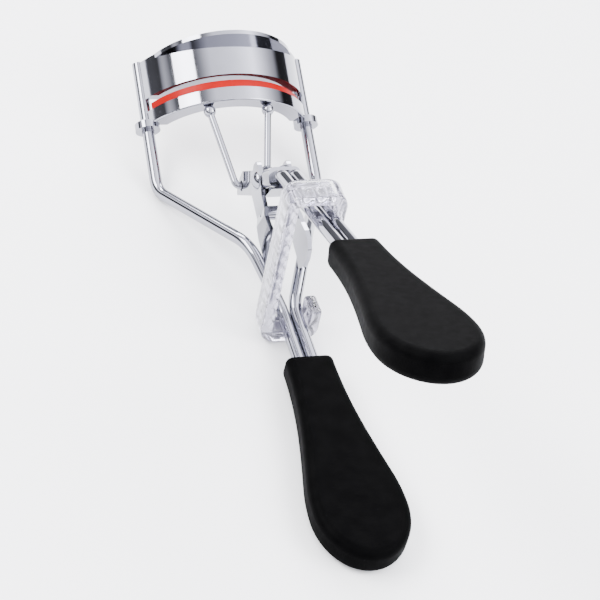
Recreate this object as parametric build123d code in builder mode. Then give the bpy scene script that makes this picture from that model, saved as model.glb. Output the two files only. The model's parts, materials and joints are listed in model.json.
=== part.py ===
from build123d import *

import os
from math import atan2, cos, degrees, radians, sin, sqrt

# Eyelash curler, in millimetres.
# It is drawn in working axes: X across the jaws, Y along the guide rods towards the jaws' top edge,
# Z towards the jaws' convex front. The guide rods' centres lie in Z = 0 and the moving jaw's
# underside in Y = 0. At the end the whole curler is tipped about X, so that it lies on its back on
# its two upper bends and the end of the frame's grip.

# --- wires ---
WIRE_D = 2.25
WIRE_GAP = 0.06              # between two wires that lie side by side
PAIR_X = (WIRE_D + WIRE_GAP) / 2

# --- frame wires ---
GUIDE_X = 15.4               # guide rod centre from the middle
GUIDE_TOP_Y = 13.3
UPPER_BEND_Y = -12.8
UPPER_BEND_R = 5.0
LOWER_BEND = (5.1, -31.4, 17.3)
LOWER_BEND_R = 8.0
JOIN_Y = -43.0               # where the two wires come together
JOIN_R = 8.0
FRAME_ANGLE = 22.8           # handle against the guide rods, degrees
FRAME_GRIP_Y = -54.9
FRAME_GRIP_Z = 21.3

# --- lever wires ---
LEVER_ANGLE = 44.1
LEVER_GRIP_Y = -47.4
LEVER_GRIP_Z = 51.9
LEVER_BEND_Y = -23.9
LEVER_BEND_R = 4.0
LEVER_ROD_START = (-21.9, 23.8)   # Y, Z of the wires' ends in the channel's saddle

# --- grips ---
GRIP_LENGTH = 42.4
GRIP_WIDTH = 15.9
GRIP_ENTRY_WIDTH = 8.4
GRIP_WIDEST_AT = 32.2        # from the entry
GRIP_THICKNESS = 5.0
GRIP_EDGE_R = 1.5
GRIP_ENTRY_R = 1.2
CORE_WIDTH = 7.0
CORE_THICKNESS = 3.4
CORE_START = 1.0
CORE_LENGTH = 33.0
WIRE_IN_GRIP = 31.0
SEAT_CLEARANCE = 0.02

# --- jaws ---
JAW_OVERHANG = 1.6           # the jaws' outer radius less the guide rods' distance from the middle
JAW_AXIS_Z = -6.1            # the jaws curve about this height
JAW_END_Z = 1.3              # where the curve ends beside the guide rods
SHEET = 0.8
JAW_DEPTH = 3.2              # radial depth of the channel and of the upper jaw's lower flange
CHANNEL_OUTER_H = 2.7
CHANNEL_INNER_H = 2.0
LIP_R = 0.3                  # rounding of the jaws' outer edges
PAD_TOP_Y = 4.5
PAD_CLEARANCE = 0.05
UPPER_JAW_Y = 5.3
UPPER_JAW_H = 7.7
RIM_FRONT = 2.5              # how far the rim stands forward at the middle
RIM_END_X = 13.2             # where it runs out
RELIEF = 0.3                 # room between the sliding jaw's walls and a guide rod

# --- eyes of the moving jaw ---
EYE_WALL = 1.15
EYE_LOW_Y = -0.6
SLIDE_CLEARANCE = 0.05

# --- push rods ---
PUSH_D = 1.3
BALL_R = 1.15
BALL_X = 5.54
BALL_DROP = 1.0              # the ball's centre below the moving jaw
HOOK_X = 2.95                # wire's centre outside the channel
HOOK = (-16.1, 8.3)          # Y, Z of the hook's axis
HOOK_TIP_X = 0.7
HOOK_BEND_R = 1.0
HOOK_CLEARANCE = 0.35        # the open pivot's play
STEM_R = 0.32
STEM_CLEARANCE = 0.18
PEEN_R = 0.6                 # wider than its hole, so that it holds the rod
PEEN_T = 0.3
PEEN_GAP = 0.15

# --- lever channel ---
PIVOT = (-20.7, 20.4)        # Y, Z of the rivet's axis
PIVOT_R = 1.2
PIVOT_CLEARANCE = 0.05
CHANNEL_HALF = 1.95          # outer face of a side plate
CHANNEL_SHEET = 0.7
SADDLE_WALL = 0.6
SADDLE_LENGTH = 4.0

# --- cheek plates ---
CHEEK_INNER_X = 2.3
CHEEK_SHEET = 0.75
CHEEK_STEP = 0.35            # the lower part stands this much further out
CHEEK_STEP_Y = -27.4
CHEEK_SEAT = 0.12            # how deep its edge is sunk in the weld
STOP_PIN = (-26.8, 20.2)     # Y, Z
STOP_PIN_R = 1.25
STOP_TENON_R = 0.7
RIVET_HEAD_R = 1.65
RIVET_HEAD_H = 0.9

# --- keeper strap ---
STRAP_WIDTH = 4.6
STRAP_THICKNESS = 2.1
STRAP_FIT = 0.25             # between the strap and a wire
STRAP_ON_LEVER_Y = -34.5
STRAP_ON_FRAME_Y = -45.1
STRAP_TAB = 3.4              # how far a hook's tab comes back beside the wires
STRAP_OUTER_R = 2.4
STRAP_INNER_R = 0.6
STRAP_TAB_R = 0.9

WIRE_R = WIRE_D / 2
FRAME_SLOPE = radians(FRAME_ANGLE)
LEVER_SLOPE = radians(LEVER_ANGLE)
JAW_R = GUIDE_X + JAW_OVERHANG
JAW_FRONT_Z = JAW_AXIS_Z + JAW_R
EYE_R = WIRE_R + SLIDE_CLEARANCE + EYE_WALL
EYE_TOP_Y = SHEET
BALL_Z = JAW_AXIS_Z + sqrt((JAW_R - JAW_DEPTH / 2) ** 2 - BALL_X**2)


def frame_line_z(y):
    """Height of the frame handle's centre line."""
    return FRAME_GRIP_Z + (FRAME_GRIP_Y - y) * sin(FRAME_SLOPE) / cos(FRAME_SLOPE)


def lever_line_z(y):
    """Height of the lever handle's centre line."""
    return LEVER_GRIP_Z + (LEVER_GRIP_Y - y) * sin(LEVER_SLOPE) / cos(LEVER_SLOPE)


def along(y, z, slope, distance):
    """The point that lies further along a handle."""
    return (y - distance * cos(slope), z + distance * sin(slope))


def handle_plane(y, z, slope):
    """Plane of a grip: its x is X, its y runs along the handle away from the jaws."""
    return Plane(origin=(0, y, z), x_dir=(1, 0, 0), z_dir=(0, -sin(slope), -cos(slope)))


def side_plane(x):
    """Plane square to X, with its x along Y and its y along Z."""
    return Plane(origin=(x, 0, 0), x_dir=(0, 1, 0), z_dir=(1, 0, 0))


def floor_plane(y):
    """Plane square to Y, facing +Y, with its x along -X and its y along Z."""
    return Plane(origin=(0, y, 0), x_dir=(-1, 0, 0), z_dir=(0, 1, 0))


def wire(points, radii, diameter):
    """A round bent wire along straight runs joined by arcs."""
    with BuildPart() as bent:
        with BuildLine() as path:
            FilletPolyline(*points, radius=radii)
        with BuildSketch(Plane(origin=path.line @ 0, z_dir=path.line % 0)):
            Circle(diameter / 2)
        sweep(path=path.line)
    return bent


# ---------------------------------------------------------------- frame wires
def frame_rod(side):
    end_y, end_z = along(FRAME_GRIP_Y, FRAME_GRIP_Z, FRAME_SLOPE, WIRE_IN_GRIP)
    return wire(
        [
            (side * GUIDE_X, GUIDE_TOP_Y, 0),
            (side * GUIDE_X, UPPER_BEND_Y, 0),
            (side * LOWER_BEND[0], LOWER_BEND[1], LOWER_BEND[2]),
            (side * PAIR_X, JOIN_Y, frame_line_z(JOIN_Y)),
            (side * PAIR_X, end_y, end_z),
        ],
        [UPPER_BEND_R, LOWER_BEND_R, JOIN_R],
        WIRE_D,
    )


frame_rod_left = frame_rod(-1)
frame_rod_right = frame_rod(1)


# ---------------------------------------------------------------- lever wires
def lever_rod(side):
    end_y, end_z = along(LEVER_GRIP_Y, LEVER_GRIP_Z, LEVER_SLOPE, WIRE_IN_GRIP)
    return wire(
        [
            (side * PAIR_X, *LEVER_ROD_START),
            (side * PAIR_X, LEVER_BEND_Y, lever_line_z(LEVER_BEND_Y)),
            (side * PAIR_X, end_y, end_z),
        ],
        [LEVER_BEND_R],
        WIRE_D,
    )


lever_rod_left = lever_rod(-1)
lever_rod_right = lever_rod(1)


# ---------------------------------------------------------------- grips
def wire_bores(plane, length):
    """Cuts the two bores that the wires fill."""
    with BuildSketch(Plane(origin=plane.origin, x_dir=plane.x_dir, z_dir=plane.y_dir)) as bores:
        with Locations((-PAIR_X, 0), (PAIR_X, 0)):
            Circle(WIRE_R + SEAT_CLEARANCE)
    extrude(bores.sketch, amount=length, mode=Mode.SUBTRACT)


def grip_core(plane):
    """Hard core that holds both wires."""
    with BuildPart() as core:
        with BuildSketch(plane):
            with Locations((0, CORE_START + CORE_LENGTH / 2)):
                RectangleRounded(CORE_WIDTH, CORE_LENGTH, CORE_WIDTH / 4)
        extrude(amount=CORE_THICKNESS / 2, both=True)
        wire_bores(plane, WIRE_IN_GRIP + SEAT_CLEARANCE)
    return core


def grip(plane):
    """Soft paddle, drop-shaped, moulded over the core."""
    half, entry = GRIP_WIDTH / 2, GRIP_ENTRY_WIDTH / 2
    with BuildPart() as paddle:
        with BuildSketch(plane):
            with BuildLine():
                flank = Spline(
                    (entry, 0),
                    (entry + 0.13 * (half - entry), 0.32 * GRIP_WIDEST_AT),
                    (entry + 0.74 * (half - entry), 0.75 * GRIP_WIDEST_AT),
                    (half, GRIP_WIDEST_AT),
                    tangents=[(0, 1), (0, 1)],
                )
                EllipticalCenterArc(
                    (0, GRIP_WIDEST_AT), half, GRIP_LENGTH - GRIP_WIDEST_AT, arc_size=90
                )
                Line((0, GRIP_LENGTH), (0, 0))
                Line((0, 0), flank @ 0)
            make_face()
            mirror(about=Plane.YZ)
        extrude(amount=GRIP_THICKNESS / 2, both=True)
        entry_corners = paddle.edges().filter_by(Axis(plane.origin, plane.z_dir)).filter_by(
            lambda edge: abs(plane.to_local_coords(edge.center()).Y) < 1e-3
        )
        fillet(entry_corners, GRIP_ENTRY_R)
        broad = paddle.faces().filter_by(plane)
        fillet(broad.edges(), GRIP_EDGE_R)
        with BuildSketch(plane):
            with Locations((0, CORE_START + CORE_LENGTH / 2)):
                RectangleRounded(CORE_WIDTH, CORE_LENGTH, CORE_WIDTH / 4)
        extrude(amount=CORE_THICKNESS / 2, both=True, mode=Mode.SUBTRACT)
        wire_bores(plane, WIRE_IN_GRIP)
    return paddle


frame_grip_plane = handle_plane(FRAME_GRIP_Y, FRAME_GRIP_Z, FRAME_SLOPE)
lever_grip_plane = handle_plane(LEVER_GRIP_Y, LEVER_GRIP_Z, LEVER_SLOPE)
frame_grip_core = grip_core(frame_grip_plane)
lever_grip_core = grip_core(lever_grip_plane)
frame_grip = grip(frame_grip_plane)
lever_grip = grip(lever_grip_plane)


# ---------------------------------------------------------------- jaws
def jaw_band(outer_r, inner_r, low_y, high_y, end_z=JAW_END_Z):
    """Curved band about the jaws' axis, between two radii and two heights, cut off at end_z."""
    with BuildSketch(floor_plane(low_y)) as band:
        with Locations((0, JAW_AXIS_Z)):
            Circle(outer_r)
            Circle(inner_r, mode=Mode.SUBTRACT)
        with Locations((0, end_z)):
            Rectangle(2 * JAW_R + 2, JAW_R, align=(Align.CENTER, Align.MIN), mode=Mode.INTERSECT)
    extrude(band.sketch, amount=high_y - low_y)


with BuildPart() as upper_jaw:
    jaw_band(JAW_R, JAW_R - SHEET, UPPER_JAW_Y, UPPER_JAW_Y + UPPER_JAW_H, end_z=WIRE_R - 0.08)
    jaw_band(JAW_R, JAW_R - JAW_DEPTH, UPPER_JAW_Y, UPPER_JAW_Y + SHEET, end_z=JAW_END_Z)
    # The rim is a crescent between the plate and a tighter circle through its two ends.
    rim_end_z = JAW_AXIS_Z + sqrt(JAW_R**2 - RIM_END_X**2)
    rim_rise = JAW_FRONT_Z + RIM_FRONT - rim_end_z
    rim_r = (RIM_END_X**2 + rim_rise**2) / (2 * rim_rise)
    with BuildSketch(floor_plane(UPPER_JAW_Y + UPPER_JAW_H - SHEET)):
        with Locations((0, JAW_FRONT_Z + RIM_FRONT - rim_r)):
            Circle(rim_r)
        with Locations((0, JAW_AXIS_Z)):
            Circle(JAW_R - SHEET / 2, mode=Mode.SUBTRACT)
        with Locations((0, rim_end_z)):
            Rectangle(2 * JAW_R, JAW_R, align=(Align.CENTER, Align.MIN), mode=Mode.INTERSECT)
    extrude(amount=SHEET)

with BuildPart() as moving_jaw:
    jaw_band(JAW_R, JAW_R - JAW_DEPTH, 0, SHEET)
    jaw_band(JAW_R, JAW_R - SHEET, 0, CHANNEL_OUTER_H)
    jaw_band(JAW_R - JAW_DEPTH + SHEET, JAW_R - JAW_DEPTH, 0, CHANNEL_INNER_H)
    lower_edges = moving_jaw.edges().filter_by(GeomType.CIRCLE).group_by(Axis.Y)[0]
    fillet(lower_edges, LIP_R)
    # Room for the guide rods beside the walls, then the eyes that ride on them.
    with BuildSketch(floor_plane(-1)):
        with Locations((-GUIDE_X, 0), (GUIDE_X, 0)):
            Circle(WIRE_R + RELIEF)
    extrude(amount=CHANNEL_OUTER_H + 2, mode=Mode.SUBTRACT)
    with BuildSketch(floor_plane(EYE_LOW_Y)):
        with Locations((-GUIDE_X, 0), (GUIDE_X, 0)):
            Circle(EYE_R)
    extrude(amount=EYE_TOP_Y - EYE_LOW_Y)
    with BuildSketch(floor_plane(EYE_LOW_Y)):
        with Locations((-GUIDE_X, 0), (GUIDE_X, 0)):
            Circle(WIRE_R + SLIDE_CLEARANCE)
    extrude(amount=EYE_TOP_Y - EYE_LOW_Y, mode=Mode.SUBTRACT)
    # Seats for the push rods' balls, and the holes for their stems.
    with Locations((-BALL_X, -BALL_DROP, BALL_Z), (BALL_X, -BALL_DROP, BALL_Z)):
        Sphere(BALL_R + SLIDE_CLEARANCE, mode=Mode.SUBTRACT)
    with BuildSketch(floor_plane(0)):
        with Locations((-BALL_X, BALL_Z), (BALL_X, BALL_Z)):
            Circle(STEM_R + STEM_CLEARANCE)
    extrude(amount=SHEET, mode=Mode.SUBTRACT)

PAD_LOW_Y = SHEET + PAD_CLEARANCE
with BuildPart() as jaw_pad:
    jaw_band(
        JAW_R - SHEET - PAD_CLEARANCE,
        JAW_R - JAW_DEPTH + SHEET + PAD_CLEARANCE,
        PAD_LOW_Y,
        PAD_TOP_Y,
    )
    # Pockets over the push rods' peened heads.
    with BuildSketch(floor_plane(PAD_LOW_Y)):
        with Locations((-BALL_X, BALL_Z), (BALL_X, BALL_Z)):
            Circle(PEEN_R + 2 * PEEN_GAP)
    extrude(amount=2 * PEEN_GAP + PEEN_T, mode=Mode.SUBTRACT)


# ---------------------------------------------------------------- push rods
def push_rod(side):
    ball_centre = (side * BALL_X, -BALL_DROP, BALL_Z)
    rod = wire(
        [ball_centre, (side * HOOK_X, *HOOK), (side * HOOK_TIP_X, *HOOK)],
        [HOOK_BEND_R],
        PUSH_D,
    )
    head_y = SHEET + PEEN_GAP
    with BuildPart() as headed:
        add(rod.part)
        with Locations(ball_centre):
            Sphere(BALL_R)
        with BuildSketch(floor_plane(-BALL_DROP)):
            with Locations((-side * BALL_X, BALL_Z)):
                Circle(STEM_R)
        extrude(amount=head_y + PEEN_T + BALL_DROP)
        with BuildSketch(floor_plane(head_y)):
            with Locations((-side * BALL_X, BALL_Z)):
                Circle(PEEN_R)
        extrude(amount=PEEN_T)
    return headed


push_rod_left = push_rod(-1)
push_rod_right = push_rod(1)

# ---------------------------------------------------------------- lever channel
SIDE_OUTLINE = [
    (-16.4, 4.9),
    (-14.8, 5.7),
    (-14.1, 10.2),
    (-17.8, 18.5),
    (-19.2, 23.4),
    (-20.9, 25.7),
    (-24.3, 24.7),
    (-23.8, 20.2),
    (-21.1, 14.9),
]
with BuildPart() as lever_channel:
    for side in (-1, 1):
        with BuildSketch(side_plane(side * (CHANNEL_HALF - CHANNEL_SHEET / 2))):
            with BuildLine():
                Polyline(*SIDE_OUTLINE, close=True)
            make_face()
            with Locations(PIVOT):
                Circle(PIVOT_R + PIVOT_CLEARANCE, mode=Mode.SUBTRACT)
            with Locations(HOOK):
                Circle(PUSH_D / 2 + HOOK_CLEARANCE, mode=Mode.SUBTRACT)
        extrude(amount=CHANNEL_SHEET / 2, both=True)
    # The web closes the channel along its back, from the hooks to the saddle.
    with BuildSketch(side_plane(0)):
        with BuildLine():
            Polyline(
                SIDE_OUTLINE[-3],
                SIDE_OUTLINE[-2],
                SIDE_OUTLINE[-1],
                SIDE_OUTLINE[0],
                (SIDE_OUTLINE[0][0] + CHANNEL_SHEET, SIDE_OUTLINE[0][1] + CHANNEL_SHEET / 3),
                (SIDE_OUTLINE[-1][0] + CHANNEL_SHEET, SIDE_OUTLINE[-1][1] + CHANNEL_SHEET / 3),
                (SIDE_OUTLINE[-2][0] + CHANNEL_SHEET, SIDE_OUTLINE[-2][1]),
                (SIDE_OUTLINE[-3][0] + CHANNEL_SHEET, SIDE_OUTLINE[-3][1]),
                close=True,
            )
        make_face()
    extrude(amount=CHANNEL_HALF, both=True)
    # The saddle is a wider sleeve round the two wires' ends.
    start_y, start_z = LEVER_ROD_START
    bend_z = lever_line_z(LEVER_BEND_Y)
    run = Vector(0, LEVER_BEND_Y - start_y, bend_z - start_z).normalized()
    saddle_plane = Plane(origin=(0, start_y, start_z), x_dir=(1, 0, 0), z_dir=run)
    with BuildSketch(saddle_plane.offset(-SADDLE_WALL)):
        RectangleRounded(
            2 * (PAIR_X + WIRE_R + SADDLE_WALL), 2 * (WIRE_R + SADDLE_WALL), WIRE_R
        )
    extrude(amount=SADDLE_LENGTH)
    with BuildSketch(saddle_plane):
        with Locations((-PAIR_X, 0), (PAIR_X, 0)):
            Circle(WIRE_R + SEAT_CLEARANCE)
        Rectangle(2 * PAIR_X, 2 * WIRE_R)
    extrude(amount=SADDLE_LENGTH, mode=Mode.SUBTRACT)

# ---------------------------------------------------------------- cheek plates
# The lower edge of a cheek plate is welded along the tops of the frame's wires.
def weld_z(y):
    """Height of the weld on a frame wire between its lower bend and the join."""
    fall = (frame_line_z(JOIN_Y) - LOWER_BEND[2]) / (JOIN_Y - LOWER_BEND[1])
    return LOWER_BEND[2] + fall * (y - LOWER_BEND[1]) + WIRE_R - CHEEK_SEAT


CHEEK_OUTLINE = [
    (-17.8, 22.3),
    (-17.7, 20.6),
    (-19.4, 17.6),
    (-21.6, 16.6),
    (-26.9, 17.4),
    (-30.4, 17.2),
    (-34.2, weld_z(-34.2)),
    (-36.6, weld_z(-36.6)),
    (-37.2, 20.4),
    (-36.9, 22.7),
    (-35.9, 24.5),
    (-34.3, 25.3),
    (-32.3, 24.8),
    (-30.2, 23.5),
    (-27.6, 22.5),
    (-24.0, 21.9),
    (-21.0, 23.0),
    (-18.8, 22.8),
]


def cheek_plate(side):
    with BuildPart() as plate:
        with BuildSketch(side_plane(0)) as outline:
            with BuildLine():
                Polyline(*CHEEK_OUTLINE, close=True)
            make_face()
            fillet(outline.vertices(), 0.7)
            with Locations(PIVOT):
                Circle(PIVOT_R, mode=Mode.SUBTRACT)
            with Locations(STOP_PIN):
                Circle(STOP_TENON_R, mode=Mode.SUBTRACT)
        extrude(amount=side * (CHEEK_INNER_X + CHEEK_SHEET + CHEEK_STEP))
        # The sheet's own course, seen along Z, with its step outwards.
        inner, outer = CHEEK_INNER_X, CHEEK_INNER_X + CHEEK_SHEET
        with BuildSketch(Plane.XY):
            with BuildLine():
                Polyline(
                    (side * inner, 0),
                    (side * inner, CHEEK_STEP_Y + CHEEK_SHEET),
                    (side * (inner + CHEEK_STEP), CHEEK_STEP_Y - CHEEK_SHEET),
                    (side * (inner + CHEEK_STEP), -60),
                    (side * (outer + CHEEK_STEP), -60),
                    (side * (outer + CHEEK_STEP), CHEEK_STEP_Y - CHEEK_SHEET),
                    (side * outer, CHEEK_STEP_Y + CHEEK_SHEET),
                    (side * outer, 0),
                    close=True,
                )
            make_face()
        extrude(amount=40, mode=Mode.INTERSECT)
    return plate


cheek_plate_left = cheek_plate(-1)
cheek_plate_right = cheek_plate(1)

with BuildPart() as pivot_rivet:
    reach = CHEEK_INNER_X + CHEEK_SHEET
    with BuildSketch(side_plane(0)):
        with Locations(PIVOT):
            Circle(PIVOT_R)
    extrude(amount=reach, both=True)
    # Domed heads, each a cap of a sphere.
    cap_r = (RIVET_HEAD_R**2 + RIVET_HEAD_H**2) / (2 * RIVET_HEAD_H)
    for side in (-1, 1):
        with BuildSketch(Plane(origin=(0, *PIVOT), x_dir=(1, 0, 0), z_dir=(0, 0, 1))):
            with BuildLine():
                Line((side * reach, 0), (side * (reach + RIVET_HEAD_H), 0))
                RadiusArc(
                    (side * (reach + RIVET_HEAD_H), 0), (side * reach, RIVET_HEAD_R), -side * cap_r
                )
                Line((side * reach, RIVET_HEAD_R), (side * reach, 0))
            make_face()
        revolve(axis=Axis((0, *PIVOT), (1, 0, 0)))

with BuildPart() as stop_pin:
    with BuildSketch(side_plane(0)):
        with Locations(STOP_PIN):
            Circle(STOP_PIN_R)
    extrude(amount=CHEEK_INNER_X, both=True)
    with BuildSketch(side_plane(0)):
        with Locations(STOP_PIN):
            Circle(STOP_TENON_R)
    extrude(amount=CHEEK_INNER_X + CHEEK_SHEET, both=True)

# ---------------------------------------------------------------- keeper strap
# A C in the plane through one point of each handle: its bar stands at the left, its hooks go
# round the outer sides of both pairs of wires and end in tabs at the right.
lever_point = Vector(0, STRAP_ON_LEVER_Y, lever_line_z(STRAP_ON_LEVER_Y))
frame_point = Vector(0, STRAP_ON_FRAME_Y, frame_line_z(STRAP_ON_FRAME_Y))
span = (frame_point - lever_point).length
down = (frame_point - lever_point).normalized()
strap_plane = Plane(origin=lever_point, x_dir=(1, 0, 0), z_dir=down.cross(Vector(1, 0, 0)))
pair_half = PAIR_X + WIRE_R


def room(slope):
    """Half height of a slanting wire as the strap's whole width sees it."""
    lean = atan2(down.Z, -down.Y) - slope
    return WIRE_R / abs(sin(lean)) + STRAP_WIDTH / 2 * abs(cos(lean) / sin(lean)) + STRAP_FIT


with BuildPart() as keeper_strap:
    top_in, low_in = room(LEVER_SLOPE), span + room(FRAME_SLOPE)
    left_in = -(CHEEK_INNER_X + CHEEK_SHEET + CHEEK_STEP + STRAP_FIT)
    right_in = pair_half + STRAP_FIT
    left_out, right_out = left_in - STRAP_THICKNESS, right_in + STRAP_THICKNESS
    top_out, low_out = top_in + STRAP_THICKNESS, low_in + STRAP_THICKNESS
    with BuildSketch(strap_plane):
        with BuildLine():
            FilletPolyline(
                (left_in, top_in),
                (right_in, top_in),
                (right_in, -STRAP_TAB),
                (right_out, -STRAP_TAB),
                (right_out, top_out),
                (left_out, top_out),
                (left_out, -low_out),
                (right_out, -low_out),
                (right_out, -span + STRAP_TAB),
                (right_in, -span + STRAP_TAB),
                (right_in, -low_in),
                (left_in, -low_in),
                radius=[
                    STRAP_INNER_R,
                    STRAP_INNER_R,
                    STRAP_TAB_R,
                    STRAP_TAB_R,
                    STRAP_OUTER_R,
                    STRAP_OUTER_R,
                    STRAP_OUTER_R,
                    STRAP_OUTER_R,
                    STRAP_TAB_R,
                    STRAP_TAB_R,
                    STRAP_INNER_R,
                    STRAP_INNER_R,
                ],
                close=True,
            )
        make_face()
    extrude(amount=STRAP_WIDTH / 2, both=True)

# ---------------------------------------------------------------- at rest on its back
NODES = {
    "frame_rod_left": frame_rod_left,
    "frame_rod_right": frame_rod_right,
    "upper_jaw": upper_jaw,
    "cheek_plate_left": cheek_plate_left,
    "cheek_plate_right": cheek_plate_right,
    "pivot_rivet": pivot_rivet,
    "stop_pin": stop_pin,
    "frame_grip_core": frame_grip_core,
    "frame_grip": frame_grip,
    "keeper_strap": keeper_strap,
    "moving_jaw": moving_jaw,
    "jaw_pad": jaw_pad,
    "push_rod_left": push_rod_left,
    "push_rod_right": push_rod_right,
    "lever_channel": lever_channel,
    "lever_rod_left": lever_rod_left,
    "lever_rod_right": lever_rod_right,
    "lever_grip_core": lever_grip_core,
    "lever_grip": lever_grip,
}


def lowest(piece, tip):
    return piece.part.rotate(Axis.X, tip).bounding_box().min.Z


# The tip is the angle at which the bends and the grip's end stand equally low.
tip = 0.0
for _ in range(5):
    tip += degrees(atan2(lowest(frame_grip, tip) - lowest(frame_rod_left, tip), GRIP_LENGTH * 2))

tipped = Compound([node.part for node in NODES.values()]).rotate(Axis.X, tip).bounding_box()
rest = Pos(-tipped.center().X, -tipped.center().Y, -tipped.min.Z) * Rot(tip, 0, 0)

os.makedirs("parts", exist_ok=True)
for name, node in NODES.items():
    node.part.label = name
    placed = rest * node.part
    placed.label = name
    export_step(placed, f"parts/{name}.step")


def report_point(name, point):
    placed = (rest * Pos(*point)).position
    print(name, [round(value / 1000, 6) for value in placed])


print("tip", round(tip, 3))
report_point("pivot", (0, *PIVOT))
report_point("ball_left", (-BALL_X, -BALL_DROP, BALL_Z))
report_point("ball_right", (BALL_X, -BALL_DROP, BALL_Z))
report_point("origin", (0, 0, 0))
slide = Rot(tip, 0, 0) * Pos(0, 1, 0)
print("slide axis", [round(value, 6) for value in slide.position])
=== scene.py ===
import json
import math

import bmesh
import bpy
from mathutils import Matrix, Vector


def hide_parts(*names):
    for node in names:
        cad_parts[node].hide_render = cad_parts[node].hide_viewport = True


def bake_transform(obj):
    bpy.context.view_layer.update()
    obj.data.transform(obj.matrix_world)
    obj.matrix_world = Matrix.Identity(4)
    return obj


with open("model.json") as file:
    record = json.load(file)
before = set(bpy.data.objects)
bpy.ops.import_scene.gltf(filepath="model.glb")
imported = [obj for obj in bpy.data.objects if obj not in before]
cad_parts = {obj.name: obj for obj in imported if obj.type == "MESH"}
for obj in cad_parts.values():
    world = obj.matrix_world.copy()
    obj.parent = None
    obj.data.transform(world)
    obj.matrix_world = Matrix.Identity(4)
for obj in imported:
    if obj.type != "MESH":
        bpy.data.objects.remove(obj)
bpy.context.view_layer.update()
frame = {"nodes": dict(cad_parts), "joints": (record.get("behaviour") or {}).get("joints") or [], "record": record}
MM = 0.001
NOISE_RANGE = (0.3, 0.7)             # the part of a noise pattern's range that is put to use

# ------------------------------------------------------------------ working axes
# X runs across the jaws, UP along the guide rods and FRONT towards the jaws' convex side.
# Sizes below are in millimetres along these axes, as the curler's own parts are drawn.
joints = {joint["name"]: joint for joint in frame["joints"]}
X = Vector((1, 0, 0))
UP = Vector(joints["jaw_slide"]["axis"]).normalized()
FRONT = X.cross(UP)
RIVET_UP, RIVET_FRONT = -20.7, 20.4
ORIGIN = Vector(joints["lever_hinge"]["pos_m"]) - (UP * RIVET_UP + FRONT * RIVET_FRONT) * MM


def at(x, up, front):
    """A point given in millimetres along the working axes."""
    return ORIGIN + (X * x + UP * up + FRONT * front) * MM


# ------------------------------------------------------------------ materials
class Shade:
    """A material with one principled shader and a few procedural helpers."""

    def __init__(self, name, colour, **sockets):
        self.material = bpy.data.materials.new(name)
        self.material.use_nodes = True
        self.nodes = self.material.node_tree.nodes
        self.links = self.material.node_tree.links
        self.shader = self.nodes["Principled BSDF"]
        self.shader.inputs["Base Color"].default_value = (*colour, 1)
        for socket, value in sockets.items():
            self.shader.inputs[socket.replace("_", " ")].default_value = value
        self.place = self.nodes.new("ShaderNodeTexCoord")

    def noise(self, scale, detail=3.0, stretch=(1, 1, 1)):
        mapping = self.nodes.new("ShaderNodeMapping")
        mapping.inputs["Scale"].default_value = stretch
        noise = self.nodes.new("ShaderNodeTexNoise")
        noise.inputs["Scale"].default_value = scale
        noise.inputs["Detail"].default_value = detail
        self.links.new(self.place.outputs["Object"], mapping.inputs["Vector"])
        self.links.new(mapping.outputs["Vector"], noise.inputs["Vector"])
        return noise.outputs["Fac"]

    def roughness(self, pattern, low, high):
        spread = self.nodes.new("ShaderNodeMapRange")
        spread.inputs["From Min"].default_value, spread.inputs["From Max"].default_value = NOISE_RANGE
        spread.inputs["To Min"].default_value = low
        spread.inputs["To Max"].default_value = high
        self.links.new(pattern, spread.inputs["Value"])
        self.links.new(spread.outputs["Result"], self.shader.inputs["Roughness"])

    def mottle(self, pattern, dark, light):
        ramp = self.nodes.new("ShaderNodeValToRGB")
        for element, place, colour in zip(ramp.color_ramp.elements, (0.35, 0.65), (dark, light)):
            element.position = place
            element.color = (*colour, 1)
        self.links.new(pattern, ramp.inputs["Fac"])
        self.links.new(ramp.outputs["Color"], self.shader.inputs["Base Color"])

    def bump(self, pattern, strength, depth_mm):
        bump = self.nodes.new("ShaderNodeBump")
        bump.inputs["Strength"].default_value = strength
        bump.inputs["Distance"].default_value = depth_mm * MM
        self.links.new(pattern, bump.inputs["Height"])
        self.links.new(bump.outputs["Normal"], self.shader.inputs["Normal"])


def chrome():
    shade = Shade("chrome_plating", (0.27, 0.272, 0.305), Metallic=1.0)
    shade.mottle(shade.noise(90.0), (0.25, 0.252, 0.285), (0.29, 0.293, 0.33))
    shade.roughness(shade.noise(260.0, 5.0), 0.04, 0.10)
    shade.bump(shade.noise(160.0, 2.0), 0.2, 0.02)
    return shade.material


def soft_touch():
    shade = Shade("soft_touch_rubber", (0.001, 0.001, 0.001), Specular_IOR_Level=0.01)
    shade.mottle(shade.noise(400.0), (0.0006, 0.0006, 0.0007), (0.0012, 0.0012, 0.0013))
    shade.roughness(shade.noise(900.0), 0.50, 0.58)
    shade.bump(shade.noise(5200.0, 2.0), 0.12, 0.01)
    return shade.material


def moulded_core():
    shade = Shade("moulded_core", (0.02, 0.02, 0.02), Specular_IOR_Level=0.4)
    shade.roughness(shade.noise(700.0), 0.40, 0.55)
    shade.bump(shade.noise(2500.0), 0.2, 0.02)
    return shade.material


def silicone():
    shade = Shade("red_silicone", (0.27, 0.0006, 0.0003), Specular_IOR_Level=0.08)
    shade.mottle(shade.noise(350.0), (0.25, 0.0005, 0.0002), (0.29, 0.0008, 0.0004))
    shade.roughness(shade.noise(800.0), 0.32, 0.42)
    shade.bump(shade.noise(3000.0), 0.15, 0.02)
    return shade.material


def clear_plastic():
    shade = Shade(
        "clear_plastic",
        (0.50, 0.49, 0.58),
        Transmission_Weight=0.90,
        IOR=1.49,
        Coat_Weight=0.6,
        Coat_Roughness=0.05,
    )
    shade.mottle(shade.noise(300.0), (0.44, 0.43, 0.52), (0.58, 0.57, 0.66))
    shade.roughness(shade.noise(500.0), 0.04, 0.10)
    shade.bump(shade.noise(700.0, 2.0), 0.5, 0.12)
    return shade.material


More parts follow.
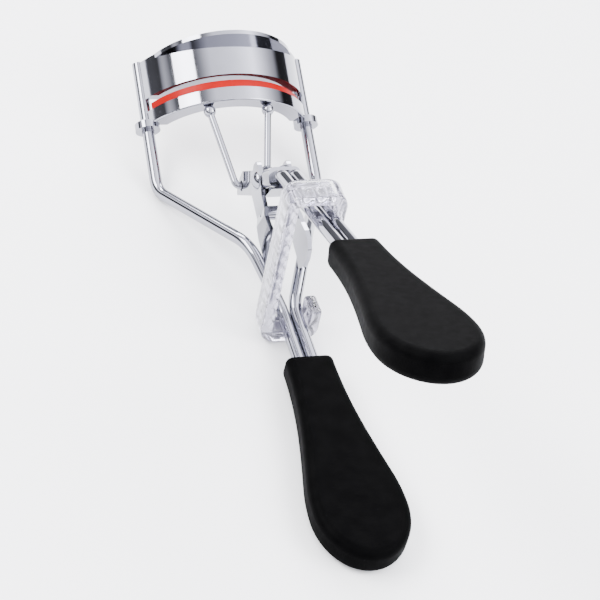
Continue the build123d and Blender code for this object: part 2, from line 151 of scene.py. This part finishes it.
BY_SLOT = {
    "chrome": chrome(),
    "grip": soft_touch(),
    "core": moulded_core(),
    "pad": silicone(),
    "strap": clear_plastic(),
}
for part in frame["record"]["subparts"]:
    node = frame["nodes"][part["node"]]
    node.data.materials.clear()
    node.data.materials.append(BY_SLOT[part["material_slot"]])


def new_piece(name, vertices, faces, material, smooth=True):
    mesh = bpy.data.meshes.new(name)
    mesh.from_pydata(vertices, [], faces)
    mesh.update()
    mesh.materials.append(material)
    if smooth:
        mesh.polygons.foreach_set("use_smooth", [True] * len(mesh.polygons))
    piece = bpy.data.objects.new(name, mesh)
    bpy.context.scene.collection.objects.link(piece)
    return piece


# ------------------------------------------------------------------ keeper strap
# A clear C: its bar stands at the left, its hooks go round the outer sides of both pairs of wires.
WIRE_R = 1.125
PAIR_HALF = 2.28                        # half the width of two wires side by side
CHEEK_OUTER_X = 3.4                     # the cheek plate that the bar passes
STRAP_WIDTH, STRAP_THICKNESS = 4.6, 2.1
STRAP_FIT = 0.25                        # room between the strap and what it goes round
STRAP_TAB = 3.4                         # length of the hooks' ends
LEVER_SLOPE, FRAME_SLOPE = math.radians(44.1), math.radians(22.8)
ON_LEVER = Vector((-34.5, 39.38))       # where it crosses the lever's wires, along UP and FRONT
ON_FRAME = Vector((-45.1, 17.2))        # and the frame's
CORNER_R, CORNER_STEPS = 1.9, 12
COURSE_STEP = 0.12                      # distance between the cross sections
EDGE_R = 1.0                            # rounding of the strap's two ends
TIP_ROUND, TIP_NARROWEST = 1.6, 0.45    # how far from its end it narrows, and to what share
# Its outer face has a groove between two rails, with low ribs across the groove's floor.
GROOVE_DEPTH, GROOVE_START, GROOVE_FADE = 0.42, 1.4, 0.8
RIB_PITCH, RIB_HEIGHT = 2.4, 0.16
RAIL_SHARE, RAIL_SLANT = 0.56, 0.08
# How much lower the section is than its middle, by the share of its half width.
SECTION_DROP = {1: 0.34, 0.97: 0.12, 0.86: 0.0}

span = (ON_FRAME - ON_LEVER).length
down = (ON_FRAME - ON_LEVER) / span
across = Vector((-down.y, down.x))


def hook_room(slope):
    """Half height of a slanting wire as the strap's whole width sees it."""
    lean = math.atan2(down.y, -down.x) - slope
    return WIRE_R / abs(math.sin(lean)) + STRAP_WIDTH / 2 * abs(1 / math.tan(lean)) + STRAP_FIT


def strap_point(x, along, out):
    """A point in the strap's own plane, or beside it by out."""
    place = ON_LEVER + down * along + across * out
    return at(x, place.x, place.y)


def rounded_course(corners, radius, step):
    """Points close together along straight runs that are joined by round corners."""
    points = [Vector(corners[0])]
    for before, corner, after in zip(corners, corners[1:], corners[2:]):
        before, corner, after = Vector(before), Vector(corner), Vector(after)
        way_in, way_out = (corner - before).normalized(), (after - corner).normalized()
        start, end = corner - way_in * radius, corner + way_out * radius
        for turn in range(CORNER_STEPS + 1):
            share = turn / CORNER_STEPS
            first, second = start.lerp(corner, share), corner.lerp(end, share)
            points.append(first.lerp(second, share))
    points.append(Vector(corners[-1]))
    course = []
    for a, b in zip(points, points[1:]):
        pieces = max(1, round((b - a).length / step))
        course.extend(a.lerp(b, i / pieces) for i in range(pieces))
    course.append(points[-1])
    return course


def keeper_strap():
    half = STRAP_THICKNESS / 2
    top = -(hook_room(LEVER_SLOPE) + half)
    low = span + hook_room(FRAME_SLOPE) + half
    left, right = -(CHEEK_OUTER_X + STRAP_FIT + half), PAIR_HALF + STRAP_FIT + half
    course = rounded_course(
        [
            (right, STRAP_TAB),
            (right, top),
            (left, top),
            (left, low),
            (right, low),
            (right, span - STRAP_TAB),
        ],
        CORNER_R,
        COURSE_STEP,
    )
    lengths = [0.0]
    for a, b in zip(course, course[1:]):
        lengths.append(lengths[-1] + (b - a).length)
    total = lengths[-1]
    # Places across the section: the outer face from rail to rail, then back along the inner face.
    half_width = STRAP_WIDTH / 2
    one_side = [0.3, RAIL_SHARE, RAIL_SHARE + RAIL_SLANT, 0.86, 0.97, 1]
    shares = [-share for share in reversed(one_side)] + [0] + one_side
    vertices, faces = [], []
    for index, place in enumerate(course):
        before, after = course[max(0, index - 1)], course[min(len(course) - 1, index + 1)]
        way = (after - before).normalized()
        outward = Vector((way.y, -way.x))
        at_end = min(lengths[index], total - lengths[index])
        ring_half = half * math.sqrt(max(0.02, 1 - max(0.0, 1 - at_end / EDGE_R) ** 2))
        tip = min(1.0, at_end / TIP_ROUND)
        ring_width = half_width * (TIP_NARROWEST + (1 - TIP_NARROWEST) * math.sqrt(1 - (1 - tip) ** 2))
        rib = RIB_HEIGHT * math.cos(2 * math.pi * lengths[index] / RIB_PITCH)
        groove = (GROOVE_DEPTH - rib) * min(1.0, max(0.0, (at_end - GROOVE_START) / GROOVE_FADE))
        section = []
        for share in shares:
            sunk = groove if abs(share) <= RAIL_SHARE else 0.0
            section.append((share, ring_half - SECTION_DROP.get(abs(share), 0.0) - sunk))
        for share in reversed(shares):
            section.append((share, -ring_half + SECTION_DROP.get(abs(share), 0.0)))
        for share, height in section:
            spot = place + outward * height
            vertices.append(strap_point(spot.x, spot.y, share * ring_width))
    ring = 2 * len(shares)
    for i in range(len(course) - 1):
        for j in range(ring):
            k = (j + 1) % ring
            faces.append((i * ring + j, i * ring + k, (i + 1) * ring + k, (i + 1) * ring + j))
    faces.append(tuple(range(ring)))
    faces.append(tuple(reversed(range((len(course) - 1) * ring, len(course) * ring))))
    return new_piece("strap", vertices, faces, BY_SLOT["strap"])


strap = keeper_strap()
outward_faces = bmesh.new()
outward_faces.from_mesh(strap.data)
bmesh.ops.recalc_face_normals(outward_faces, faces=outward_faces.faces)
outward_faces.to_mesh(strap.data)
outward_faces.free()
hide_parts("keeper_strap")
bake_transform(strap)

# ------------------------------------------------------------------ floor
HALF_FLOOR = 1.5
floor_shade = Shade("pale_floor", (0.93, 0.93, 0.935), Specular_IOR_Level=0.15)
floor_shade.roughness(floor_shade.noise(3.0), 0.75, 0.85)
floor = new_piece(
    "floor",
    [(x * HALF_FLOOR, y * HALF_FLOOR, 0) for x, y in ((-1, -1), (1, -1), (1, 1), (-1, 1))],
    [(0, 1, 2, 3)],
    floor_shade.material,
    smooth=False,
)


# ------------------------------------------------------------------ light
LIT_POINT = Vector((0, 0, 0.01))


def area_light(name, where, size, power):
    data = bpy.data.lights.new(name, "AREA")
    data.shape = "RECTANGLE"
    data.size, data.size_y = size
    data.energy = power
    lamp = bpy.data.objects.new(name, data)
    bpy.context.scene.collection.objects.link(lamp)
    lamp.location = where
    lamp.rotation_euler = (LIT_POINT - Vector(where)).to_track_quat("-Z", "Y").to_euler()


area_light("key", (-0.45, 0.15, 0.50), (0.50, 0.30), 9)
area_light("fill", (0.45, -0.25, 0.40), (0.30, 0.40), 4)
area_light("back", (0.10, 0.55, 0.35), (0.60, 0.12), 5)

# A studio of pale walls with dark gaps between them, which the plating mirrors as black bands.
world = bpy.data.worlds.new("studio")
bpy.context.scene.world = world
world.use_nodes = True
sky_nodes, sky_links = world.node_tree.nodes, world.node_tree.links
background = sky_nodes["Background"]
SKY_STRENGTH, SKY_TINT = 4.0, 1.03      # brightness, and how much bluer than grey
direction = sky_nodes.new("ShaderNodeTexCoord")
split = sky_nodes.new("ShaderNodeSeparateXYZ")
sky_links.new(direction.outputs["Generated"], split.inputs["Vector"])


def bands(socket, stops):
    """Brightness along one axis of the sky, from -1 to 1."""
    spread = sky_nodes.new("ShaderNodeMapRange")
    spread.inputs["From Min"].default_value = -1.0
    spread.inputs["From Max"].default_value = 1.0
    sky_links.new(socket, spread.inputs["Value"])
    ramp = sky_nodes.new("ShaderNodeValToRGB")
    elements = ramp.color_ramp.elements
    while len(elements) < len(stops):
        elements.new(0.5)
    for element, (place, value) in zip(elements, stops):
        element.position = (place + 1) / 2
        element.color = (value, value, value * SKY_TINT, 1)
    sky_links.new(spread.outputs["Result"], ramp.inputs["Fac"])
    return ramp.outputs["Color"]


height = bands(
    split.outputs["Z"],
    [
        (-1, 0.6),
        (-0.02, 0.5),
        (0.03, 0.1),
        (0.27, 0.06),
        (0.38, 0.85),
        (0.8, 1.05),
        (1, 0.85),
    ],
)
turn = bands(
    split.outputs["X"],
    [
        (-0.95, 1.2),
        (-0.82, 0.10),
        (-0.75, 0.15),
        (-0.68, 1.15),
        (-0.54, 1.15),
        (-0.48, 0.10),
        (-0.38, 0.35),
        (-0.20, 1.0),
        (0.35, 1.3),
        (0.62, 1.7),
        (0.90, 0.15),
    ],
)
product = sky_nodes.new("ShaderNodeVectorMath")
product.operation = "MULTIPLY"
sky_links.new(height, product.inputs[0])
sky_links.new(turn, product.inputs[1])
sky_links.new(product.outputs["Vector"], background.inputs["Color"])
background.inputs["Strength"].default_value = SKY_STRENGTH

# ------------------------------------------------------------------ camera
# It looks down at the curler past the grips' ends, turned and rolled as a hand-held view.
EYE = at(-100.3, -153.0, 314.1)
AIM = at(4.33, -39.8, 11.05)
HEAD = X * 0.0574 + UP * 0.9286 + FRONT * 0.3667
forward = (AIM - EYE).normalized()
right = forward.cross(HEAD).normalized()
camera_data = bpy.data.cameras.new("camera")
camera_data.lens = 115.7
camera = bpy.data.objects.new("camera", camera_data)
bpy.context.scene.collection.objects.link(camera)
stance = Matrix((right, right.cross(forward), -forward)).transposed().to_4x4()
stance.translation = EYE
camera.matrix_world = stance
bpy.context.scene.camera = camera
